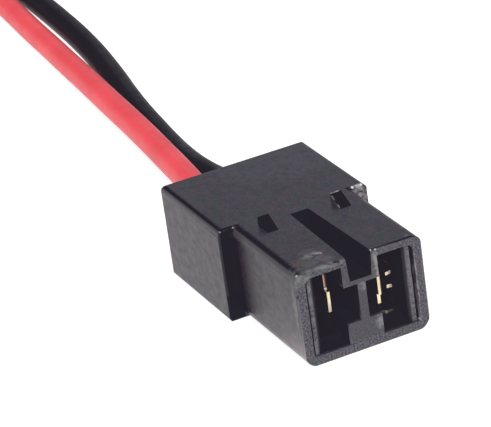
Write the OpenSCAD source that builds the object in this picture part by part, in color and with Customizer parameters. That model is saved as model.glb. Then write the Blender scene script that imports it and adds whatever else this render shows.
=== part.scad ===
// Two-way connector plug: a moulded black housing with two rolled receptacle terminals on a red and black lead.
// Millimetres. The mating face looks along -Y, the wires leave along +Y and the flat underside is at z = 0.

/* [Housing] */
// Width of the narrow front section
front_w = 12; // [11.6:0.1:14]
// Length of the narrow front section
front_l = 12; // [11:0.5:16]
// Width of the wide rear block
rear_w = 14.6; // [13.2:0.1:20]
// Length of the wide rear block
rear_l = 12; // [10:0.5:18]
// Height without the catches
housing_h = 8.9; // [8.6:0.1:11]
// Radius of the front section's long upper edges
front_top_r = 1; // [0.3:0.05:1.1]
// Radius of the front section's long lower edges
front_low_r = 1.4; // [0.3:0.1:1.5]
// Radius of the edges around the mating face
front_edge_r = 0.2; // [0.1:0.05:0.4]
// Radius of the rear block's long upper edges
rear_top_r = 0.7; // [0.3:0.05:1]
// Radius of the rear block's long lower edges
rear_low_r = 0.5; // [0.2:0.1:1]
// Radius of the rear block's upright corners
corner_r = 0.2; // [0.1:0.05:0.6]
// Radius of the rear block's upper cross edges
cross_edge_r = 0.3; // [0.1:0.05:0.5]
// Thickness of the rear block's side walls
rear_wall_t = 1.4; // [1:0.1:1.8]
// Thickness of the web between the two wire openings
rear_web_t = 1.2; // [0.8:0.1:1.6]

/* [Mating face] */
// Thickness of the side walls at the rim
rim_t = 0.9; // [0.7:0.05:1.2]
// Thickness of the floor at the rim
floor_t = 0.9; // [0.7:0.05:1.2]
// Thickness of the roof at the rim
roof_t = 0.7; // [0.5:0.05:1.2]
// Radius of the pocket's upper corners
pocket_high_r = 0.6; // [0.2:0.1:0.8]
// Radius of the pocket's lower corners
pocket_low_r = 0.25; // [0.1:0.05:0.5]
// Depth of the pocket with the thin roof and floor
pocket_l = 2; // [1.5:0.1:2.1]
// How far the ledges sit behind the mating face
ledge_set_back = 0.3; // [0.1:0.05:0.8]
// Width of the groove between ledge and rim
groove_w = 0.25; // [0.15:0.01:0.6]
// Depth of that groove behind the mating face
groove_l = 1.3; // [1:0.1:2]
// Width of the flat front of each ledge
ledge_flat_w = 0.3; // [0.2:0.05:0.4]
// How far the lip of each ledge reaches in front of its terminal
lip_w = 0.15; // [0.05:0.05:0.3]
// How far the slope from the flat front to the lip runs back
lip_slope_l = 0.2; // [0.1:0.05:0.4]
// Thickness of the lip
lip_t = 0.3; // [0.2:0.05:0.4]
// Thickness of the divider between the openings
divider_t = 0.78; // [0.6:0.02:1.2]
// Width of the pedestal under the divider
pedestal_w = 3.15; // [2:0.05:3.6]
// Height of the pedestal above the floor
pedestal_h = 1.95; // [1:0.05:2.3]

/* [Keyway] */
// Width of the keyway at its mouth
key_mouth_w = 2.4; // [2:0.1:3]
// Width of the keyway at its closed end
key_end_w = 1.75; // [1.4:0.05:2]
// Width of the keyway at its floor
key_floor_w = 2.05; // [1.5:0.05:2.3]
// Depth of the keyway
key_depth = 2.25; // [1.8:0.05:2.4]
// Thickness of the keyway's walls
key_wall_t = 0.5; // [0.4:0.05:0.8]
// Thickness of the keyway's floor
key_floor_t = 0.4; // [0.3:0.05:0.6]
// Distance from the closed end to the rear block
key_end_gap = 1.2; // [0.8:0.1:2]

/* [Catches] */
// Width of each wedge-shaped catch on the roof
catch_w = 1.05; // [0.6:0.05:1.4]
// Length of each catch
catch_l = 1.8; // [1:0.1:3]
// Height of each catch above the roof
catch_h = 0.85; // [0.3:0.05:1.2]
// Distance between the two catches, middle to middle
catch_spacing = 7.04; // [6:0.02:8]
// Distance from a catch to the rear block
catch_gap = 1.45; // [0.8:0.05:3]

/* [Terminals] */
// Distance between the backs of the two terminals
terminal_spacing = 4.5; // [4.3:0.1:4.8]
// Sheet thickness
sheet_t = 0.3; // [0.25:0.05:0.4]
// Height of the receptacle across its two rolls
terminal_h = 6.2; // [5.8:0.1:6.4]
// Depth of the receptacle from its back to its rolls
terminal_d = 2; // [1.9:0.05:2.3]
// Outer radius of the rolls
roll_r = 0.8; // [0.6:0.05:0.9]
// Gap between the two rolls
roll_gap = 0.9; // [0.4:0.1:1.4]
// Room for the tab between the back and the lips of the rolls
tab_gap = 0.7; // [0.5:0.05:0.9]
// Length of the receptacle
contact_l = 7; // [6.5:0.1:8]
// How far the tongue of the back stands out in front of the rolls
tongue_l = 0.35; // [0.2:0.05:0.8]
// Width of the tongue
tongue_w = 1.9; // [1.2:0.1:2.6]
// Depth of the rolls' square front edges, from the back outwards
square_d = 1.5; // [1.2:0.1:1.8]
// How far the slanted rest of those edges runs back
slant_l = 0.8; // [0.3:0.1:1.6]
// How far the receptacles sit behind the mating face
set_back = 1.7; // [1.5:0.1:2.5]
// Length of the neck between receptacle and crimps
neck_l = 1.7; // [1:0.1:2.5]
// Width of the neck where it meets the conductor crimp
neck_w = 1.8; // [1.4:0.1:2.4]
// Length of the conductor crimp
core_crimp_l = 3.8; // [3:0.1:4.5]
// Distance between the two crimps
crimp_gap = 0.8; // [0.5:0.1:1.2]
// Length of the insulation crimp
wire_crimp_l = 3.2; // [2.5:0.1:4]
// Width of the seam along the insulation crimp
seam_w = 0.7; // [0.3:0.1:1.2]
// Distance from the receptacle's front to the root of its locking lance
lance_start = 2.7; // [2:0.1:3.3]
// Length of the lance
lance_l = 2.4; // [1.8:0.1:3]
// Width of the lance
lance_w = 1.4; // [1:0.1:1.8]
// How far the tip of the lance stands out
lance_lift = 0.85; // [0.6:0.05:1]
// Length of the stop behind each lance
stop_l = 1.2; // [0.8:0.1:2]

/* [Wires] */
// Diameter over the insulation
wire_d = 2.6; // [2.2:0.1:2.6]
// Diameter of the bundle of strands
core_d = 1.3; // [1:0.05:1.4]
// Length of the strands in front of the conductor crimp
brush_l = 0.6; // [0.3:0.1:1]
// Length of the stripped far ends
tip_l = 5; // [3:0.5:8]

/* [Fits] */
// Clearance of a terminal in its bay
bay_fit = 0.1; // [0.05:0.01:0.15]
// Clearance of a wire in its crimps
crimp_fit = 0.02; // [0.01:0.01:0.05]
// Height of the guide under each terminal
guide_h = 0.45; // [0.2:0.05:0.6]
// Height of the rails behind each terminal's back
rail_h = 0.7; // [0.4:0.05:0.9]

/* [Hidden] */
$fn = 64;
overlap = 0.2;
RED_SIDE = -1;
BLACK_SIDE = 1;
TUBE_SIDES = 8;

// Widths, from the middle outwards
key_x = key_mouth_w / 2 + key_wall_t;
base_x = terminal_spacing / 2;
rail_x = base_x - bay_fit;
bay_x = base_x + terminal_d + bay_fit;
rim_x = front_w / 2 - rim_t;
ledge_x = rim_x - groove_w;

// Heights, from the underside upwards
bay_low = floor_t + guide_h;
terminal_z = bay_low + bay_fit + terminal_h / 2;
bay_high = bay_low + terminal_h + 2 * bay_fit;
key_z = housing_h - key_depth;

// Lengths, from the mating face backwards
front_y = -(front_l + rear_l) / 2;
step_y = front_y + front_l;
rear_y = step_y + rear_l;
contact_y = front_y + set_back;
roll_y = contact_y + tongue_l;
lance_y = contact_y + lance_start;
stop_y = lance_y + lance_l + bay_fit;
neck_y = contact_y + contact_l;
core_crimp_y = neck_y + neck_l;
core_crimp_end = core_crimp_y + core_crimp_l;
wire_y = core_crimp_end + crimp_gap;
bay_end = wire_y - bay_fit;

// Wire axis inside the crimps
wire_r = wire_d / 2;
core_r = core_d / 2;
axis_u = sheet_t + crimp_fit + core_r;
axis_x = base_x + axis_u;
barrel_u = axis_u - crimp_fit - wire_r - sheet_t;

// Routes of the wires' axes: the red one rests on the black one for a while, and both end lying flat
red_route = [
    [-axis_x, wire_y, terminal_z],
    [-axis_x, 6.4, terminal_z],
    [-3, 9, 4.48],
    [-2.45, 12, 4.3],
    [-1.75, 15, 4.1],
    [-1, 18.5, 3.87],
    [-0.45, 22, 3.64],
    [0.1, 26, 3.4],
    [0.6, 30, 3.15],
    [1.2, 35, 2.9],
    [1.7, 40, 2.7],
    [2.15, 45, 2.5],
    [2.6, 50, 2.3],
    [3.2, 56, 2],
    [3.75, 62, 1.7],
    [4.3, 68, 1.45],
    [4.8, 75, wire_r],
    [5.3, 82, wire_r],
    [5.7, 89, wire_r],
    [5.95, 96, wire_r],
    [5.95, 102.5, wire_r]
];
black_route = [
    [axis_x, wire_y, terminal_z],
    [axis_x, 6.4, terminal_z],
    [3.18, 9, 4.42],
    [3.05, 12, 4.14],
    [2.85, 15, 3.74],
    [2.68, 18.5, 3.22],
    [2.58, 22, 2.7],
    [2.62, 26, 2.2],
    [2.88, 30, 1.75],
    [3.4, 35, 1.4],
    [3.97, 40, wire_r],
    [4.55, 45, wire_r],
    [5.28, 50, wire_r],
    [6.3, 56, wire_r],
    [7.2, 62, wire_r],
    [7.85, 68, wire_r],
    [8.3, 75, wire_r],
    [8.55, 82, wire_r],
    [8.65, 89, wire_r],
    [8.7, 96, wire_r],
    [8.7, 102.5, wire_r]
];

// Swept tube: one ring of points square to the route at each of its points
function unit(v) = v / norm(v);
function heading(route, i) = unit(route[min(i + 1, len(route) - 1)] - route[max(i - 1, 0)]);
function ring(route, i, r) =
    let (ahead = heading(route, i), across = unit(cross(ahead, [0, 0, 1])), up = cross(across, ahead))
    [for (k = [0:TUBE_SIDES - 1]) route[i] + r * (cos(360 * k / TUBE_SIDES) * across + sin(360 * k / TUBE_SIDES) * up)];

module swept_tube(route, r) {
    last = len(route) - 1;
    points = [for (i = [0:last]) each ring(route, i, r)];
    walls = [for (i = [0:last - 1], k = [0:TUBE_SIDES - 1])
        let (a = i * TUBE_SIDES + k, b = i * TUBE_SIDES + (k + 1) % TUBE_SIDES)
        each [[a, a + TUBE_SIDES, b], [b, a + TUBE_SIDES, b + TUBE_SIDES]]];
    near_cap = [for (k = [0:TUBE_SIDES - 1]) k];
    far_cap = [for (k = [TUBE_SIDES - 1:-1:0]) last * TUBE_SIDES + k];
    polyhedron(points, concat([near_cap, far_cap], walls));
}

// Rectangle from corner to corner with round lower and upper corners
module round_rect(low, high, r_low, r_high) {
    size = high - low;
    translate([low[0], low[1] + r_low]) square([size[0], size[1] - r_low - r_high]);
    translate([low[0] + r_low, low[1]]) square([size[0] - 2 * r_low, size[1] - r_high]);
    translate([low[0] + r_high, low[1] + r_low]) square([size[0] - 2 * r_high, size[1] - r_low]);
    for (x = [low[0] + r_low, high[0] - r_low]) translate([x, low[1] + r_low]) circle(r_low);
    for (x = [low[0] + r_high, high[0] - r_high]) translate([x, high[1] - r_high]) circle(r_high);
}

// Extrudes an outline drawn in x and z from y0 to y1
module along_y(y0, y1) {
    translate([0, y1, 0]) rotate([90, 0, 0]) linear_extrude(y1 - y0) children();
}

// Extrudes an outline drawn in y and z from x0 to x1
module along_x(x0, x1) {
    translate([x0, 0, 0]) rotate([90, 0, 90]) linear_extrude(x1 - x0) children();
}

module box(low, high) {
    translate(low) cube(high - low);
}

// Outside of the housing

module rear_block() {
    intersection() {
        along_y(step_y, rear_y)
            round_rect([-rear_w / 2, 0], [rear_w / 2, housing_h], rear_low_r, rear_top_r);
        linear_extrude(housing_h)
            round_rect([-rear_w / 2, step_y], [rear_w / 2, rear_y], corner_r, corner_r);
        along_x(-rear_w / 2, rear_w / 2)
            round_rect([step_y, 0], [rear_y, housing_h], cross_edge_r, cross_edge_r);
    }
}

module front_section() {
    back_y = step_y + corner_r + overlap;
    intersection() {
        along_y(front_y, back_y)
            round_rect([-front_w / 2, 0], [front_w / 2, housing_h], front_low_r, front_top_r);
        linear_extrude(housing_h)
            round_rect([-front_w / 2, front_y], [front_w / 2, back_y], front_edge_r, front_edge_r);
        along_x(-front_w / 2, front_w / 2) {
            round_rect([front_y, 0], [back_y, housing_h], front_edge_r, front_edge_r);
            translate([step_y - overlap, 0]) square([back_y - step_y + overlap, housing_h]);
        }
    }
}

module catch(side) {
    heel_y = step_y - catch_gap;
    toe_y = heel_y - catch_l;
    middle_x = side * catch_spacing / 2;
    along_x(middle_x - catch_w / 2, middle_x + catch_w / 2) polygon([
        [toe_y, housing_h - overlap], [heel_y, housing_h - overlap],
        [heel_y, housing_h + catch_h], [toe_y, housing_h]
    ]);
}

// Inside of the housing

module terminal_bays() {
    box([-bay_x, front_y - overlap, bay_low], [bay_x, bay_end + overlap, bay_high]);
    box([-bay_x, front_y - overlap, floor_t], [bay_x, front_y + pocket_l, housing_h - roof_t]);
    along_y(front_y - overlap, front_y + groove_l)
        round_rect([-rim_x, floor_t], [rim_x, housing_h - roof_t], pocket_low_r, pocket_high_r);
}

module ledge(side) {
    ledge_y = front_y + ledge_set_back;
    lip_x = bay_x - lip_w;
    lip_y = ledge_y + lip_slope_l;
    end_y = front_y + groove_l + overlap;
    mirror([side < 0 ? 1 : 0, 0, 0]) linear_extrude(housing_h) polygon([
        [ledge_x, ledge_y], [ledge_x, end_y], [bay_x, end_y], [bay_x, lip_y + lip_t],
        [lip_x, lip_y + lip_t], [lip_x, lip_y], [ledge_x - ledge_flat_w, ledge_y]
    ]);
}

module divider() {
    box([-divider_t / 2, front_y, 0], [divider_t / 2, bay_end + overlap, housing_h]);
    box([-pedestal_w / 2, front_y, 0], [pedestal_w / 2, bay_end, floor_t + pedestal_h]);
    box([-key_x, front_y, key_z - key_floor_t], [key_x, step_y - key_end_gap + key_wall_t, housing_h]);
}

module rails() {
    box([-rail_x, lance_y, 0], [rail_x, bay_end, bay_low + rail_h]);
    box([-rail_x, lance_y, bay_high - rail_h], [rail_x, bay_end, housing_h]);
}

module lance_stops() {
    stop_x = base_x - lance_lift / 2;
    stop_h = lance_w + 2 * bay_fit;
    box([-stop_x, stop_y, terminal_z - stop_h / 2], [stop_x, stop_y + stop_l, terminal_z + stop_h / 2]);
}

module keyway() {
    end_y = step_y - key_end_gap;
    intersection() {
        translate([0, 0, key_z]) linear_extrude(key_depth + overlap) polygon([
            [-key_mouth_w / 2, front_y - overlap], [key_mouth_w / 2, front_y - overlap],
            [key_end_w / 2, end_y], [-key_end_w / 2, end_y]
        ]);
        along_y(front_y - overlap, end_y) polygon([
            [-key_floor_w / 2, key_z], [key_floor_w / 2, key_z],
            [key_mouth_w / 2, housing_h], [key_mouth_w / 2, housing_h + overlap],
            [-key_mouth_w / 2, housing_h + overlap], [-key_mouth_w / 2, housing_h]
        ]);
    }
}

module wire_opening(side) {
    near_x = side * rear_web_t / 2;
    far_x = side * (rear_w / 2 - rear_wall_t);
    box([min(near_x, far_x), bay_end, bay_low], [max(near_x, far_x), rear_y + overlap, bay_high]);
}

module housing() {
    color("#2a2a2e") difference() {
        union() {
            rear_block();
            front_section();
            for (side = [-1, 1]) catch(side);
        }
        difference() {
            terminal_bays();
            for (side = [-1, 1]) ledge(side);
            divider();
            rails();
            lance_stops();
        }
        for (side = [-1, 1]) wire_opening(side);
        keyway();
    }
}

// Terminal on the +X side, as one folded sheet: outlines are drawn in u, outwards from its back, and z

module roll(side) {
    inner = roll_gap / 2;
    outer = terminal_h / 2;
    mirror([0, side < 0 ? 1 : 0]) difference() {
        round_rect([0, inner], [terminal_d, outer], roll_r, roll_r);
        round_rect([sheet_t, inner + sheet_t], [terminal_d - sheet_t, outer - sheet_t],
            roll_r - sheet_t, roll_r - sheet_t);
        translate([sheet_t, 0]) square([tab_gap, inner + roll_r]);
    }
}

module receptacle() {
    window_w = lance_w + 2 * bay_fit;
    difference() {
        along_y(roll_y, neck_y) {
            for (side = [-1, 1]) roll(side);
            translate([0, roll_r - terminal_h / 2]) square([sheet_t, terminal_h - 2 * roll_r]);
        }
        box([-overlap, lance_y, -window_w / 2], [sheet_t + bay_fit, lance_y + lance_l + bay_fit, window_w / 2]);
        translate([0, 0, -terminal_h]) linear_extrude(2 * terminal_h) polygon([
            [square_d, roll_y - overlap], [terminal_d + overlap, roll_y - overlap],
            [terminal_d + overlap, roll_y + slant_l], [terminal_d, roll_y + slant_l], [square_d, roll_y]
        ]);
    }
    box([0, contact_y, -tongue_w / 2], [sheet_t, roll_y + overlap, tongue_w / 2]);
}

module lance() {
    translate([0, lance_y, -lance_w / 2]) linear_extrude(lance_w) polygon([
        [0, -overlap], [sheet_t, -overlap], [sheet_t, 0],
        [sheet_t - lance_lift, lance_l], [-lance_lift, lance_l], [0, 0]
    ]);
}

module neck() {
    wide = terminal_h / 2 - roll_r;
    along_x(0, sheet_t) polygon([
        [neck_y - overlap, -wide], [neck_y, -wide], [core_crimp_y, -neck_w / 2], [core_crimp_y + overlap, -neck_w / 2],
        [core_crimp_y + overlap, neck_w / 2], [core_crimp_y, neck_w / 2], [neck_y, wide], [neck_y - overlap, wide]
    ]);
}

module core_crimp() {
    wing_r = core_r + sheet_t / 4;
    wing_u = terminal_d - wing_r;
    half_w = core_r + sheet_t;
    along_y(core_crimp_y, core_crimp_end) difference() {
        union() {
            translate([0, -half_w]) square([wing_u, 2 * half_w]);
            for (side = [-1, 1]) translate([wing_u, side * (half_w - wing_r)]) circle(wing_r);
        }
        translate([axis_u, 0]) circle(core_r + crimp_fit);
    }
}

module crimp_link() {
    translate([0, 0, -neck_w / 2]) linear_extrude(neck_w) polygon([
        [0, core_crimp_end - overlap], [sheet_t, core_crimp_end - overlap], [sheet_t, core_crimp_end],
        [barrel_u + sheet_t, wire_y - bay_fit], [barrel_u + sheet_t / 2, wire_y + overlap],
        [barrel_u, wire_y + overlap], [barrel_u, wire_y - bay_fit], [0, core_crimp_end]
    ]);
}

module wire_crimp() {
    bore_r = wire_r + crimp_fit;
    along_y(wire_y, wire_y + wire_crimp_l) translate([axis_u, 0]) difference() {
        circle(bore_r + sheet_t);
        circle(bore_r);
        translate([0, -seam_w / 2]) square([bore_r + 2 * sheet_t, seam_w]);
    }
}

module terminal() {
    color("#d9a441") translate([base_x, 0, terminal_z]) {
        receptacle();
        lance();
        neck();
        core_crimp();
        crimp_link();
        wire_crimp();
    }
}

module right_terminal() {
    terminal();
}

module left_terminal() {
    mirror([1, 0, 0]) terminal();
}

// Wires

module core(side) {
    color("#c98a5a") translate([side * axis_x, wire_y, terminal_z]) rotate([90, 0, 0])
        cylinder(h = wire_y - core_crimp_y + brush_l, r = core_r);
}

module wire_tip(route) {
    color("#c8c4bc") translate(route[len(route) - 1]) rotate([-90, 0, 0]) cylinder(h = tip_l, r = core_r);
}

module red_core() {
    core(RED_SIDE);
}

module black_core() {
    core(BLACK_SIDE);
}

module red_wire() {
    color("#e8283c") swept_tube(red_route, wire_r);
}

module black_wire() {
    color("#1c1c1e") swept_tube(black_route, wire_r);
}

module red_wire_tip() {
    wire_tip(red_route);
}

module black_wire_tip() {
    wire_tip(black_route);
}

housing();
left_terminal();
right_terminal();
red_core();
black_core();
red_wire();
black_wire();
red_wire_tip();
black_wire_tip();
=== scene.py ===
"""Looks of the two-way connector plug: black moulded housing, brass receptacles and a red and black lead.

Places and lengths are in millimetres of the shared frame, unless a comment gives another unit.
"""

import math

import bpy
from mathutils import Matrix, Vector


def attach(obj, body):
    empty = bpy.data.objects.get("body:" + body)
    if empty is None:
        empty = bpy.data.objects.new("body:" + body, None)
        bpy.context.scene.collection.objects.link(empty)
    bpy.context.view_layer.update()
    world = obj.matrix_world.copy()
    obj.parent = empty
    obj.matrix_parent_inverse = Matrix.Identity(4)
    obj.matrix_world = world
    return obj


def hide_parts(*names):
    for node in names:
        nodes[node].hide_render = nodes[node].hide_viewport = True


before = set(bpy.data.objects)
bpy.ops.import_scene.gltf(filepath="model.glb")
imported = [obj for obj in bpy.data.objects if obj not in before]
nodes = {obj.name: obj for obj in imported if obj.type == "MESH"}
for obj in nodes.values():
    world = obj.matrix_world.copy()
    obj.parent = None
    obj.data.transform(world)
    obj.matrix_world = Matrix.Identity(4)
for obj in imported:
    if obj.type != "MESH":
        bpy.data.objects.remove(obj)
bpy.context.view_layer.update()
MM = 0.001

# Camera, fitted to the photo's edges: where it stands, its three axes and its focal length in pixels

PHOTO_WIDTH_PX = 491
FOCAL_PX = 2961.07
EYE = Vector((-92.737, -212.487, 117.166)) * MM
RIGHT = Vector((0.890442, -0.435953, -0.130601))
UP = Vector((0.293761, 0.331416, 0.896587))
BACK = Vector((-0.347587, -0.836724, 0.423173))
SENSOR_WIDTH = 36.0
NEAREST_SEEN = 10.0


def add_camera():
    data = bpy.data.cameras.new("photo_camera")
    data.sensor_width = SENSOR_WIDTH
    data.lens = FOCAL_PX / PHOTO_WIDTH_PX * SENSOR_WIDTH
    data.clip_start = NEAREST_SEEN * MM
    camera = bpy.data.objects.new("photo_camera", data)
    columns = Matrix((RIGHT, UP, BACK)).transposed().to_4x4()
    camera.matrix_world = Matrix.Translation(EYE) @ columns
    bpy.context.scene.collection.objects.link(camera)
    bpy.context.scene.camera = camera


add_camera()

# Node helpers

# The Mix node has one set of sockets for numbers and one for colours
NUMBER_INPUTS = (2, 3)
NUMBER_OUTPUT = 0
COLOUR_INPUTS = (6, 7)
COLOUR_OUTPUT = 2

# Range of a share, and noise that isn't stretched
FULL = (0.0, 1.0)
EVEN = (1.0, 1.0, 1.0)

# A box fades out this far to both sides of its faces, and a spot from this share of its reach on
BOX_FADE = 0.05
SPOT_CORE = 0.5


def opaque(colour):
    """A plain colour with its alpha added, or the socket that gives a colour."""
    return colour if isinstance(colour, bpy.types.NodeSocket) else (*colour, 1.0)


class Shader:
    """A material's node tree with one Principled shader, and short calls for the nodes that feed it."""

    def __init__(self, name, sockets):
        self.material = bpy.data.materials.new(name)
        self.material.use_nodes = True
        self.tree = self.material.node_tree
        self.bsdf = self.tree.nodes["Principled BSDF"]
        for socket, value in sockets.items():
            self.bsdf.inputs[socket].default_value = value
        self.where = self.tree.nodes.new("ShaderNodeNewGeometry")

    def node(self, kind, inputs, **settings):
        """New node whose inputs are links or constants."""
        made = self.tree.nodes.new("ShaderNode" + kind)
        for key, value in settings.items():
            setattr(made, key, value)
        for key, value in inputs.items():
            if isinstance(value, bpy.types.NodeSocket):
                self.tree.links.new(value, made.inputs[key])
            else:
                made.inputs[key].default_value = value
        return made

    def link(self, source, socket):
        self.tree.links.new(source, self.bsdf.inputs[socket])

    def math(self, operation, a, b=0.0):
        return self.node("Math", {0: a, 1: b}, operation=operation).outputs[0]

    def times(self, a, b):
        return self.math("MULTIPLY", a, b)

    def larger(self, a, b):
        return self.math("MAXIMUM", a, b)

    def blend(self, share, low, high):
        """Number between two others."""
        low_input, high_input = NUMBER_INPUTS
        inputs = {"Factor": share, low_input: low, high_input: high}
        return self.node("Mix", inputs).outputs[NUMBER_OUTPUT]

    def mix(self, share, low, high):
        """Colour between two others."""
        low_input, high_input = COLOUR_INPUTS
        inputs = {"Factor": share, low_input: opaque(low), high_input: opaque(high)}
        return self.node("Mix", inputs, data_type="RGBA").outputs[COLOUR_OUTPUT]

    def spread(self, value, source, target=FULL):
        """Maps one range onto another and stops at its ends."""
        made = self.node("MapRange", {
            "Value": value,
            "From Min": source[0],
            "From Max": source[1],
            "To Min": target[0],
            "To Max": target[1],
        })
        return made.outputs["Result"]

    def place(self, axis):
        """Position along one axis."""
        split = self.node("SeparateXYZ", {0: self.where.outputs["Position"]})
        return self.math("DIVIDE", split.outputs[axis], MM)

    def facing(self, axis):
        """How far the surface faces along one axis, from -1 to 1."""
        return self.node("SeparateXYZ", {0: self.where.outputs["Normal"]}).outputs[axis]

    def noise(self, per_mm, detail, stretch=EVEN):
        """Noise with this many features per millimetre, fewer along an axis with a small stretch."""
        scale = tuple(per_mm / MM * share for share in stretch)
        place = self.node("Mapping", {"Vector": self.where.outputs["Position"], "Scale": scale})
        inputs = {"Vector": place.outputs[0], "Scale": 1.0, "Detail": detail}
        return self.node("TexNoise", inputs).outputs["Fac"]

    def pattern(self, per_mm, detail, source, stretch=EVEN, target=FULL):
        """Noise with a part of its range spread over the target."""
        return self.spread(self.noise(per_mm, detail, stretch), source, target)

    def spot(self, centre, reach):
        """1 in the middle of an ellipsoid, fading to 0 at its surface."""
        position = self.where.outputs["Position"]
        offset = self.node("VectorMath", {0: position, 1: Vector(centre) * MM}, operation="SUBTRACT")
        share = self.node("VectorMath", {0: offset.outputs[0], 1: Vector(reach) * MM}, operation="DIVIDE")
        length = self.node("VectorMath", {0: share.outputs[0]}, operation="LENGTH").outputs["Value"]
        return self.spread(length, (1.0, SPOT_CORE))

    def inside(self, low, high):
        """1 in a box given by its lowest and highest corner, 0 outside."""
        share = 1.0
        for axis, start, end in zip("XYZ", low, high):
            place = self.place(axis)
            share = self.times(share, self.spread(place, (start - BOX_FADE, start + BOX_FADE)))
            share = self.times(share, self.spread(place, (end + BOX_FADE, end - BOX_FADE)))
        return share

    def bump(self, height, depth):
        made = self.node("Bump", {"Height": height, "Distance": depth * MM, "Strength": 1.0})
        self.link(made.outputs["Normal"], "Normal")


# Housing: places of its finish

FRONT = -12.0
ROOF = 8.9

# Wear marks and painted highlights: centre, reach, colour and strength
WEAR_AND_PAINTED_HIGHLIGHTS = (
    # Roof: lighter and bluer towards the rear, then the scuffed patch behind the mating face
    ((5.0, 11.0, ROOF), (9.0, 7.5, 0.5), (0.042, 0.043, 0.056), 0.7),
    ((-3.4, -10.7, ROOF), (2.0, 1.5, 0.8), (0.075, 0.078, 0.088), 0.8),
    ((-2.6, -10.7, ROOF), (0.8, 0.7, 0.5), (0.080, 0.052, 0.075), 0.8),
    ((-3.1, -8.8, ROOF), (1.0, 0.7, 0.5), (0.060, 0.050, 0.074), 0.8),
    ((-4.5, -10.2, ROOF), (0.9, 0.8, 0.8), (0.056, 0.036, 0.022), 0.9),
    ((-5.5, -11.2, 8.6), (0.8, 1.1, 0.9), (0.060, 0.062, 0.056), 0.9),
    ((-3.0, -9.45, ROOF), (1.2, 0.45, 0.5), (0.150, 0.146, 0.152), 0.8),
    ((-2.6, -9.55, ROOF), (0.28, 0.14, 0.2), (0.26, 0.27, 0.26), 0.8),
    ((-2.32, -9.72, ROOF), (0.12, 0.22, 0.2), (0.24, 0.25, 0.24), 0.8),
    # Rim of the mating face and the left ledge
    ((-3.4, -11.95, 8.87), (2.6, 0.25, 0.18), (0.11, 0.11, 0.115), 0.8),
    ((-6.0, -11.4, 5.6), (0.4, 0.45, 2.2), (0.14, 0.13, 0.14), 0.8),
    ((-5.4, FRONT, 8.1), (1.4, 0.3, 0.9), (0.12, 0.128, 0.12), 0.8),
    ((-4.7, -11.7, 4.5), (0.3, 0.2, 6.0), (0.15, 0.15, 0.155), 0.5),
    ((-5.92, -11.95, 7.1), (0.18, 0.3, 0.6), (0.004, 0.004, 0.005), 1.0),
    ((-2.4, FRONT, 8.75), (1.5, 0.4, 0.3), (0.14, 0.14, 0.14), 0.6),
    ((-5.66, -11.75, 8.66), (0.16, 0.18, 0.16), (0.38, 0.38, 0.37), 0.8),
    # Right of the keyway, divider and pedestal
    ((1.22, -11.95, 8.88), (0.10, 0.15, 0.10), (0.50, 0.50, 0.48), 0.8),
    ((1.65, -11.95, 8.78), (0.10, 0.15, 0.10), (0.40, 0.40, 0.38), 0.7),
    ((1.53, FRONT, 7.2), (0.45, 0.3, 1.6), (0.185, 0.185, 0.19), 0.9),
    ((1.30, FRONT, 2.2), (0.55, 0.3, 0.9), (0.15, 0.155, 0.17), 0.8),
    ((0.10, FRONT, 5.9), (0.5, 0.3, 0.5), (0.15, 0.14, 0.145), 0.8),
    # Painted highlight along the right rim's inner edge, and painted light on the right ledge, which lies
    # in shade
    ((5.14, FRONT, 4.4), (0.12, 0.15, 4.4), (0.19, 0.19, 0.20), 0.8),
    ((4.85, -11.6, 4.5), (0.5, 0.4, 6.0), (0.12, 0.11, 0.12), 0.8),
    # Painted highlights at the upper ends of the two steps and on the right step's face
    ((-7.05, 0.1, 8.72), (0.09, 0.2, 0.09), (0.25, 0.25, 0.27), 0.8),
    ((-5.8, 0.1, 8.75), (0.09, 0.2, 0.09), (0.25, 0.25, 0.27), 0.8),
    ((6.6, 0.0, 8.1), (1.0, 0.25, 1.2), (0.22, 0.195, 0.20), 0.9),
    ((6.3, 0.1, 8.82), (0.75, 0.25, 0.16), (0.30, 0.28, 0.285), 0.9),
    ((5.9, 0.08, 8.82), (0.15, 0.2, 0.14), (0.56, 0.54, 0.53), 0.9),
    ((6.75, 0.08, 8.82), (0.15, 0.2, 0.14), (0.58, 0.56, 0.56), 0.9),
    # Painted highlights on the edges of the right catch
    ((3.4, -1.47, 9.72), (0.65, 0.10, 0.10), (0.34, 0.31, 0.31), 0.9),
    ((3.0, -2.0, 9.5), (0.06, 0.5, 0.25), (0.22, 0.20, 0.20), 0.8),
    ((3.0, -2.9, 9.05), (0.06, 0.4, 0.2), (0.20, 0.18, 0.18), 0.8),
)

# Only marks that reach further than this are patchy
PATCHY_REACH = 0.3
MARK_ROUGHNESS = 0.6

# Painted shade, deep black where shade falls: lowest and highest corner, roughness
PAINTED_SHADE_BOXES = (
    # Left step, inner corners of both steps, left step's upper edge
    ((-7.35, -0.1, -0.1), (-5.9, 0.1, 8.5), 0.15),
    ((-6.2, -0.9, -0.1), (-5.8, 0.1, 8.0), 0.15),
    ((5.8, -0.9, -0.1), (6.2, 0.1, 8.0), 0.15),
    ((-7.35, -0.1, 8.4), (-5.9, 0.3, 8.95), 0.15),
    # Outer sides of the catches
    ((-4.2, -3.3, 8.95), (-4.0, -1.4, 9.8), 0.15),
    ((4.0, -3.3, 8.95), (4.2, -1.4, 9.8), 0.15),
    # Terminal bays, slope of the right ledge, wire openings and keyway
    ((-5.2, -11.65, 0.8), (5.2, 3.0, 8.3), 0.55),
    ((3.8, -11.8, 0.8), (4.4, -11.4, 8.3), 0.55),
    ((-6.0, 2.9, 1.3), (6.0, 11.6, 7.8), 0.55),
    ((-1.3, -11.95, 6.6), (1.3, -1.1, 8.8), 0.55),
)

# Foot of the left step, which hardly mirrors the floor: lowest and highest corner
STEP_FOOT = ((-7.35, -0.9, -0.1), (-5.8, 0.1, 2.6))
FOOT_SPECULAR = 0.12
PLASTIC_SPECULAR = 0.5
PLASTIC_IOR = 1.32

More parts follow.
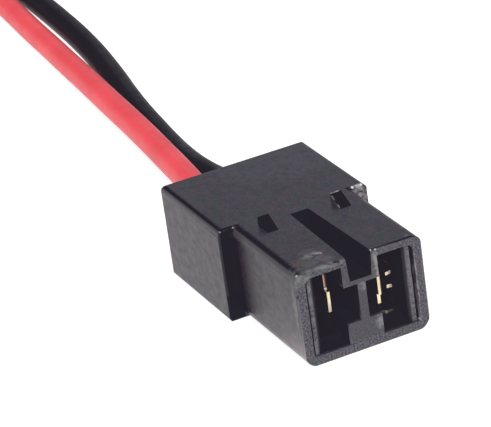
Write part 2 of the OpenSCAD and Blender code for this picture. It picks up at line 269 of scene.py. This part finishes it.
# Divider and pedestal, whose front is less grainy than the rim: lowest and highest corner
MIDDLE = ((-2.2, -12.2, 1.1), (2.2, -11.0, 8.0))
MIDDLE_EVENNESS = 0.6
MIDDLE_GRAIN_SHARE = 0.56
RIM_GRAIN_SHARE = 0.68
MEAN_GRAIN = 0.5
FRONT_ROUGHNESS = 0.6

# Housing: colours

# On the roof and on the sides
GREENISH = ((0.009, 0.019, 0.017), (0.006, 0.008, 0.006))
PURPLISH = ((0.026, 0.013, 0.027), (0.021, 0.006, 0.015))
SPECKLED = ((0.036, 0.035, 0.039), (0.027, 0.017, 0.022))

BLUISH = (0.008, 0.010, 0.030)
# Painted shade: deep black for faces, edges and hollows where shade falls
PAINTED_SHADE_BLACK = (0.003, 0.003, 0.004)
# Painted light on the lower half of the sides' rounded edges
EDGE_PAINTED_LIGHT = (0.046, 0.043, 0.047)
WORN_RIM = (0.075, 0.072, 0.076)
# Painted light towards the flanks' lower front corners
FLANK_PAINTED_LIGHT = (0.290, 0.258, 0.274)
FRONT_DARK = (0.018, 0.017, 0.022)

# Where the tint is greenish and where it is purplish
FRONT_LIGHT = ((0.114, 0.136, 0.132), (0.152, 0.118, 0.158))

# Housing: patterns, most of them drawn out along the plug

DRAWN = (1.0, 0.6, 1.0)
TINT = dict(per_mm=2.2, detail=4.0, source=(0.40, 0.60), stretch=DRAWN)
BLUE_PATCHES = dict(per_mm=1.2, detail=3.0, source=(0.52, 0.68), stretch=DRAWN, target=(0.0, 0.7))
SPECKLES = dict(per_mm=5.5, detail=3.0, source=(0.46, 0.68), stretch=DRAWN, target=(0.0, 0.9))
PLASTIC_ROUGHNESS = dict(per_mm=1.5, detail=4.0, source=(0.3, 0.7), stretch=DRAWN, target=(0.28, 0.42))
FRONT_GRAIN = dict(per_mm=6.0, detail=2.0, source=(0.35, 0.65))
MARK_PATCHES = dict(per_mm=1.8, detail=4.0, source=(0.38, 0.58))
MOULD_TEXTURE = dict(per_mm=5.0, detail=3.0, stretch=DRAWN)
MOULD_WAVES = dict(per_mm=0.9, detail=2.0)
WAVES_TO_TEXTURE = 2.0
MOULD_DEPTH = 0.012

# Housing: where a share begins and where it is full, by what a surface faces or by its place

SIDE_ACROSS = (0.6, 0.9)
FACING_DOWN = (0.0, -0.1)
FLAT = (0.91, 0.98)
UPRIGHT_ACROSS = (0.25, 0.5)
UPRIGHT_UP = (0.35, 0.15)
EDGE_LIGHT_ACROSS = (0.60, 0.74)
EDGE_LIGHT_UP = (0.05, 0.35)
RIM_EDGE_FACING = (-0.3, -0.5)
RIM_EDGE_Y = (-11.0, -11.5)
FLANK_ACROSS = (0.5, 0.7)
FLANK_Y = (-2.0, -12.0)
FLANK_Z = (6.0, 0.5)
FLANK_FADE = 2.6
FRONT_FACING = (-0.8, -0.95)
FRONT_Y = (-11.4, -11.6)


def mottled_colour(s, across, tint):
    """Greenish, purplish and bluish blacks with lighter speckles."""
    side = s.spread(across, SIDE_ACROSS)
    colour = s.mix(tint, s.mix(side, *GREENISH), s.mix(side, *PURPLISH))
    colour = s.mix(s.pattern(**BLUE_PATCHES), colour, BLUISH)
    return s.mix(s.pattern(**SPECKLES), colour, s.mix(side, *SPECKLED))


def edge_colour(s, colour, across, up):
    """The mottled colour lies on flat faces and upright edges, and painted light lightens the sides'
    rounded edges up to halfway.

    Above that, and on the steps that face the mating end, painted shade keeps the plastic deep black.
    """
    flat = s.larger(s.larger(across, up), s.facing("Y"))
    flat = s.larger(flat, s.spread(up, FACING_DOWN))
    upright = s.times(s.spread(across, UPRIGHT_ACROSS), s.spread(up, UPRIGHT_UP))
    flat = s.larger(flat, upright)
    colour = s.mix(s.spread(flat, FLAT), PAINTED_SHADE_BLACK, colour)
    edge_light = s.times(s.spread(across, EDGE_LIGHT_ACROSS), s.spread(up, EDGE_LIGHT_UP))
    colour = s.mix(edge_light, colour, EDGE_PAINTED_LIGHT)
    rim_edge = s.times(s.spread(s.facing("Y"), RIM_EDGE_FACING), s.spread(s.place("Y"), RIM_EDGE_Y))
    return s.mix(s.times(upright, rim_edge), colour, WORN_RIM)


def flank_colour(s, colour, across):
    """Painted light: the flanks are lighter towards their lower front corners."""
    flank = s.times(s.spread(s.place("Z"), FLANK_Z), s.spread(s.place("Y"), FLANK_Y))
    flank = s.times(s.math("POWER", flank, FLANK_FADE), s.spread(across, FLANK_ACROSS))
    return s.mix(flank, colour, FLANK_PAINTED_LIGHT)


def front_finish(s, colour, rough, tint):
    """The mating face is rough and grainy, with less grain in the middle."""
    front = s.times(s.spread(s.place("Y"), FRONT_Y), s.spread(s.facing("Y"), FRONT_FACING))
    middle = s.inside(*MIDDLE)
    grain = s.blend(s.times(middle, MIDDLE_EVENNESS), s.pattern(**FRONT_GRAIN), MEAN_GRAIN)
    grainy = s.mix(grain, FRONT_DARK, s.mix(tint, *FRONT_LIGHT))
    share = s.times(front, s.spread(middle, FULL, (RIM_GRAIN_SHARE, MIDDLE_GRAIN_SHARE)))
    rough = s.larger(rough, s.times(front, FRONT_ROUGHNESS))
    return s.mix(share, colour, grainy), rough


# Paints the shade boxes deep black
def paint_shade_boxes(s, colour, rough):
    for low, high, roughness in PAINTED_SHADE_BOXES:
        dark = s.inside(low, high)
        colour = s.mix(dark, colour, PAINTED_SHADE_BLACK)
        rough = s.blend(dark, rough, roughness)
    return colour, rough


# Lays the wear marks and the painted highlights on the plastic
def mark_wear_and_highlights(s, colour, rough):
    patches = s.pattern(**MARK_PATCHES)
    for centre, reach, shade, strength in WEAR_AND_PAINTED_HIGHLIGHTS:
        mark = s.times(s.spot(centre, reach), strength)
        if max(reach) > PATCHY_REACH:
            mark = s.times(mark, patches)
        colour = s.mix(mark, colour, shade)
        rough = s.larger(rough, s.times(mark, MARK_ROUGHNESS))
    return colour, rough


def black_plastic():
    s = Shader("black_plastic", {"IOR": PLASTIC_IOR})
    across = s.math("ABSOLUTE", s.facing("X"))
    up = s.facing("Z")
    tint = s.pattern(**TINT)
    colour = mottled_colour(s, across, tint)
    colour = edge_colour(s, colour, across, up)
    colour = flank_colour(s, colour, across)
    rough = s.pattern(**PLASTIC_ROUGHNESS)
    colour, rough = front_finish(s, colour, rough, tint)
    colour, rough = paint_shade_boxes(s, colour, rough)
    colour, rough = mark_wear_and_highlights(s, colour, rough)
    s.link(colour, "Base Color")
    s.link(rough, "Roughness")
    foot = s.inside(*STEP_FOOT)
    s.link(s.spread(foot, FULL, (PLASTIC_SPECULAR, FOOT_SPECULAR)), "Specular IOR Level")
    waves = s.times(s.noise(**MOULD_WAVES), WAVES_TO_TEXTURE)
    s.bump(s.math("ADD", s.noise(**MOULD_TEXTURE), waves), MOULD_DEPTH)
    return s.material


# Wires: insulation and its patterns

INSULATION_IOR = 1.5
INSULATION_TINT = dict(per_mm=0.25, detail=3.0, source=(0.3, 0.7))
INSULATION_ROUGHNESS = dict(per_mm=1.2, detail=3.0, source=(0.3, 0.7), target=(0.42, 0.54))
INSULATION_TEXTURE = dict(per_mm=2.5, detail=3.0, stretch=(1.0, 0.25, 1.0))
INSULATION_DEPTH = 0.01


def insulation(name, dark, light, specular):
    s = Shader(name, {"IOR": INSULATION_IOR, "Specular IOR Level": specular})
    s.link(s.mix(s.pattern(**INSULATION_TINT), dark, light), "Base Color")
    s.link(s.pattern(**INSULATION_ROUGHNESS), "Roughness")
    s.bump(s.noise(**INSULATION_TEXTURE), INSULATION_DEPTH)
    return s.material


# Metal: patterns, of which each metal stretches roughness and grain its own way

METAL_TINT = dict(per_mm=0.8, detail=3.0, source=(0.35, 0.65))
METAL_ROUGHNESS = dict(per_mm=4.0, detail=3.0, source=(0.3, 0.7), target=(0.13, 0.22))
METAL_GRAIN = dict(per_mm=8.0, detail=2.0)
METAL_DEPTH = 0.002
CUT_FACING = (-0.75, -0.9)

# Painted shade and painted highlights on the terminals' cut front edges: lowest and highest corner, colour
# and roughness
TERMINAL_SHADE_AND_HIGHLIGHTS = (
    # Left terminal
    ((-4.4, -10.6, 1.0), (-2.1, -9.0, 3.55), (0.012, 0.009, 0.006), 0.5),
    ((-4.4, -10.6, 3.5), (-2.8, -9.0, 7.8), (0.012, 0.009, 0.006), 0.5),
    ((-2.7, -10.1, 5.5), (-2.1, -9.0, 7.8), (0.05, 0.018, 0.012), 0.3),
    ((-2.54, -10.1, 5.85), (-2.40, -9.0, 7.0), (0.38, 0.26, 0.22), 0.3),
    ((-2.52, -10.1, 5.5), (-2.32, -9.0, 5.75), (0.98, 0.92, 0.80), 0.25),
    ((-2.62, -10.6, 3.5), (-2.50, -10.15, 5.6), (0.10, 0.06, 0.02), 0.4),
    ((-2.50, -10.6, 3.5), (-2.10, -10.15, 4.4), (0.62, 0.52, 0.45), 0.3),
    # Right terminal
    ((2.49, -10.6, 3.5), (2.65, -10.15, 5.6), (0.10, 0.06, 0.02), 0.4),
    ((2.1, -10.1, 1.85), (2.75, -9.0, 2.65), (0.018, 0.014, 0.010), 0.4),
    ((2.78, -10.1, 1.3), (3.12, -9.0, 1.9), (0.70, 0.66, 0.48), 0.3),
    ((3.1, -10.1, 3.5), (4.3, -9.0, 5.6), (0.95, 0.82, 0.56), 0.3),
)


def metal(name, dark, light, stretch, shade_and_highlights=()):
    s = Shader(name, {"Metallic": 1.0})
    colour = s.mix(s.pattern(**METAL_TINT), dark, light)
    rough = s.pattern(**METAL_ROUGHNESS, stretch=stretch)
    cut = s.spread(s.facing("Y"), CUT_FACING)
    for low, high, shade, roughness in shade_and_highlights:
        mark = s.times(s.inside(low, high), cut)
        colour = s.mix(mark, colour, shade)
        rough = s.larger(rough, s.times(mark, roughness))
    s.link(colour, "Base Color")
    s.link(rough, "Roughness")
    s.bump(s.noise(**METAL_GRAIN, stretch=stretch), METAL_DEPTH)
    return s.material


BLACK_PLASTIC = black_plastic()
RED_PVC = insulation(
    "red_insulation", dark=(0.74, 0.062, 0.074), light=(0.84, 0.080, 0.092), specular=0.3,
)
BLACK_PVC = insulation(
    "black_insulation", dark=(0.002, 0.002, 0.003), light=(0.006, 0.005, 0.006), specular=0.12,
)
BRASS = metal(
    "brass_sheet", dark=(0.55, 0.44, 0.27), light=(0.86, 0.74, 0.51), stretch=(1.0, 0.1, 1.0),
    shade_and_highlights=TERMINAL_SHADE_AND_HIGHLIGHTS,
)
TINNED = metal(
    "tinned_strands", dark=(0.62, 0.60, 0.57), light=(0.80, 0.78, 0.75), stretch=(1.0, 0.3, 1.0),
)

# Cords: the routes of the wires' axes as in the part's source

WIRE_R = 1.3
AXIS_X = 3.22
AXIS_Z = 4.55
WIRE_Y = 3.0
RED_ROUTE = (
    (-AXIS_X, WIRE_Y, AXIS_Z), (-AXIS_X, 6.4, AXIS_Z), (-3, 9, 4.48), (-2.45, 12, 4.3), (-1.75, 15, 4.1),
    (-1, 18.5, 3.87), (-0.45, 22, 3.64), (0.1, 26, 3.4), (0.6, 30, 3.15), (1.2, 35, 2.9),
    (1.7, 40, 2.7), (2.15, 45, 2.5), (2.6, 50, 2.3), (3.2, 56, 2), (3.75, 62, 1.7),
    (4.3, 68, 1.45), (4.8, 75, WIRE_R), (5.3, 82, WIRE_R), (5.7, 89, WIRE_R), (5.95, 96, WIRE_R),
    (5.95, 102.5, WIRE_R),
)
BLACK_ROUTE = (
    (AXIS_X, WIRE_Y, AXIS_Z), (AXIS_X, 6.4, AXIS_Z), (3.18, 9, 4.42), (3.05, 12, 4.14), (2.85, 15, 3.74),
    (2.68, 18.5, 3.22), (2.58, 22, 2.7), (2.62, 26, 2.2), (2.88, 30, 1.75), (3.4, 35, 1.4),
    (3.97, 40, WIRE_R), (4.55, 45, WIRE_R), (5.28, 50, WIRE_R), (6.3, 56, WIRE_R), (7.2, 62, WIRE_R),
    (7.85, 68, WIRE_R), (8.3, 75, WIRE_R), (8.55, 82, WIRE_R), (8.65, 89, WIRE_R), (8.7, 96, WIRE_R),
    (8.7, 102.5, WIRE_R),
)

# Steps around each wire's section and along its route
SECTION_STEPS = 8
ROUTE_STEPS = 8


def add_wire(name, node, route, material):
    curve = bpy.data.curves.new(name, "CURVE")
    curve.dimensions = "3D"
    curve.bevel_depth = WIRE_R * MM
    curve.bevel_resolution = SECTION_STEPS
    curve.resolution_u = ROUTE_STEPS
    curve.use_fill_caps = True
    spline = curve.splines.new("BEZIER")
    spline.bezier_points.add(len(route) - 1)
    for point, place in zip(spline.bezier_points, route):
        point.co = Vector(place) * MM
        point.handle_left_type = "AUTO"
        point.handle_right_type = "AUTO"
    wire = bpy.data.objects.new(name, curve)
    bpy.context.scene.collection.objects.link(wire)
    curve.materials.append(material)
    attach(wire, "root")
    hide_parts(node)
    return wire


# Stripped ends: strands in rings around the axis, each ring with its radius in strand radii and its count

STRAND_RINGS = ((0.0, 1), (2.0, 6), (4.0, 12))
CORE_R = 0.65
STRAND_R = CORE_R / (STRAND_RINGS[-1][0] + 1)
STRAND_STEPS = 15
STRAND_SIDES = 8
LAY_LENGTH = 16.0
CORE_FRONT_Y = -2.2
TIP_LENGTH = 5.0

# A strand's walls have this many corners, and its cut ends have more
WALL_CORNERS = 4


def around_y(turns, radius):
    """Point on a circle around the Y axis."""
    angle = 2 * math.pi * turns
    return Vector((math.cos(angle), 0, math.sin(angle))) * radius


def add_strand(vertices, faces, start, length, ring_radius, phase):
    """One strand that winds around the bundle's axis, with both ends closed."""
    first = len(vertices)
    for step in range(STRAND_STEPS + 1):
        along = length * step / STRAND_STEPS
        centre = around_y(phase + along / LAY_LENGTH, ring_radius)
        for side in range(STRAND_SIDES):
            rim = around_y(side / STRAND_SIDES, STRAND_R)
            vertices.append((start + centre + rim + Vector((0, along, 0))) * MM)
    for step in range(STRAND_STEPS):
        row = first + step * STRAND_SIDES
        for side in range(STRAND_SIDES):
            a = row + side
            b = row + (side + 1) % STRAND_SIDES
            faces.append((a, b, b + STRAND_SIDES, a + STRAND_SIDES))
    last = first + STRAND_STEPS * STRAND_SIDES
    faces.append([first + side for side in reversed(range(STRAND_SIDES))])
    faces.append([last + side for side in range(STRAND_SIDES)])


def add_strands(name, node, start, length):
    """Twisted bundle along +Y in place of a plain stripped end."""
    vertices = []
    faces = []
    for ring_radii, count in STRAND_RINGS:
        for strand in range(count):
            add_strand(vertices, faces, start, length, ring_radii * STRAND_R, strand / count)
    mesh = bpy.data.meshes.new(name)
    mesh.from_pydata(vertices, [], faces)
    mesh.update()
    for face in mesh.polygons:
        face.use_smooth = len(face.vertices) == WALL_CORNERS
    bundle = bpy.data.objects.new(name, mesh)
    bpy.context.scene.collection.objects.link(bundle)
    mesh.materials.append(TINNED)
    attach(bundle, "root")
    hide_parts(node)
    return bundle


for colour, route, material in (("red", RED_ROUTE, RED_PVC), ("black", BLACK_ROUTE, BLACK_PVC)):
    wire = add_wire(f"{colour}_wire_cover", f"{colour}_wire", route, material)
    tip = add_strands(f"{colour}_tip_strands", f"{colour}_wire_tip", Vector(route[-1]), TIP_LENGTH)
    core_start = Vector((route[0][0], CORE_FRONT_Y, AXIS_Z))
    add_strands(f"{colour}_core_strands", f"{colour}_core", core_start, WIRE_Y - CORE_FRONT_Y)

# CAD nodes: materials, and a narrow rounding of the housing's sharp edges

EDGE_SOFTNESS = 0.07
EDGE_STEPS = 2
SHARP_DEGREES = 22
WELD_REACH = 0.0005
FLAT_FACE_WEIGHT = 100


def dress(obj, material):
    obj.data.materials.clear()
    obj.data.materials.append(material)


def all_smooth():
    """Node group that shades every face and edge smooth."""
    group = bpy.data.node_groups.new("all_smooth", "GeometryNodeTree")
    for way in ("INPUT", "OUTPUT"):
        group.interface.new_socket("Geometry", in_out=way, socket_type="NodeSocketGeometry")
    last = group.nodes.new("NodeGroupInput").outputs[0]
    for domain in ("FACE", "EDGE"):
        step = group.nodes.new("GeometryNodeSetShadeSmooth")
        step.domain = domain
        group.links.new(last, step.inputs["Geometry"])
        last = step.outputs["Geometry"]
    group.links.new(last, group.nodes.new("NodeGroupOutput").inputs[0])
    return group


def soften_edges(obj):
    """Rounded edges and even shading, as modifiers on top of the unchanged mesh."""
    weld = obj.modifiers.new("weld", "WELD")
    weld.merge_threshold = WELD_REACH * MM
    obj.modifiers.new("smooth_shading", "NODES").node_group = all_smooth()
    bevel = obj.modifiers.new("soft_edges", "BEVEL")
    bevel.width = EDGE_SOFTNESS * MM
    bevel.segments = EDGE_STEPS
    bevel.limit_method = "ANGLE"
    bevel.angle_limit = math.radians(SHARP_DEGREES)
    bevel.face_strength_mode = "FSTR_NEW"
    shading = obj.modifiers.new("flat_faces", "WEIGHTED_NORMAL")
    shading.use_face_influence = True
    shading.weight = FLAT_FACE_WEIGHT


dress(nodes["housing"], BLACK_PLASTIC)
dress(nodes["left_terminal"], BRASS)
dress(nodes["right_terminal"], BRASS)
soften_edges(nodes["housing"])

# Studio: white floor and soft light, in metres and watts

FLOOR_HALF = 3.0
FLOOR_ROUGHNESS = 0.9
FLOOR_GLOW = 0.85
FLOOR_GREYS = ((0.36, 0.36, 0.36), (0.38, 0.38, 0.38))
FLOOR_PATTERN = dict(per_mm=0.02, detail=2.0)
WHITE = (1.0, 1.0, 1.0)
WORLD_STRENGTH = 0.05

# Lights, which all aim at the origin: name, place, size and power
SOFTBOXES = (
    ("key_softbox", (-0.25, -0.60, 0.70), (0.6, 0.6), 15.0),
    ("sheen_softbox", (0.36, 0.66, 0.338), (0.5, 0.5), 0.40),
    ("left_card", (-0.45, 0.70, 0.10), (0.45, 0.2), 0.34),
)


def floor_paper():
    s = Shader("floor_paper", {
        "Roughness": FLOOR_ROUGHNESS,
        "Emission Color": opaque(WHITE),
        "Emission Strength": FLOOR_GLOW,
    })
    s.link(s.mix(s.noise(**FLOOR_PATTERN), *FLOOR_GREYS), "Base Color")
    return s.material


def add_floor():
    mesh = bpy.data.meshes.new("floor")
    h = FLOOR_HALF
    mesh.from_pydata([(-h, -h, 0), (h, -h, 0), (h, h, 0), (-h, h, 0)], [], [(0, 1, 2, 3)])
    floor = bpy.data.objects.new("floor", mesh)
    bpy.context.scene.collection.objects.link(floor)
    mesh.materials.append(floor_paper())


def add_world():
    world = bpy.data.worlds.new("white_tent")
    world.use_nodes = True
    background = world.node_tree.nodes["Background"]
    background.inputs["Color"].default_value = opaque(WHITE)
    background.inputs["Strength"].default_value = WORLD_STRENGTH
    bpy.context.scene.world = world


def add_softbox(name, place, size, watts):
    data = bpy.data.lights.new(name, "AREA")
    data.shape = "RECTANGLE"
    data.size, data.size_y = size
    data.energy = watts
    box = bpy.data.objects.new(name, data)
    box.location = place
    box.rotation_mode = "QUATERNION"
    box.rotation_quaternion = (-Vector(place)).to_track_quat("-Z", "Y")
    bpy.context.scene.collection.objects.link(box)


add_floor()
add_world()
for softbox in SOFTBOXES:
    add_softbox(*softbox)

# Tones: the photo's blacks aren't quite black, and its darkest tones run together

BLACK_LIFT = (0.016, 0.014, 0.021)

# Tones above the lifted black: level in and level out
DARK_TONES = ((0.0, 0.0), (0.012, 0.004), (0.035, 0.031))


def lift_blacks():
    view = bpy.context.scene.view_settings
    view.view_transform = "Standard"
    view.use_curve_mapping = True
    view.curve_mapping.black_level = tuple(-lift for lift in BLACK_LIFT)
    for curve, lift in zip(view.curve_mapping.curves, BLACK_LIFT):
        for level_in, level_out in DARK_TONES:
            curve.points.new(lift + level_in, lift + level_out).handle_type = "VECTOR"
    view.curve_mapping.update()


lift_blacks()
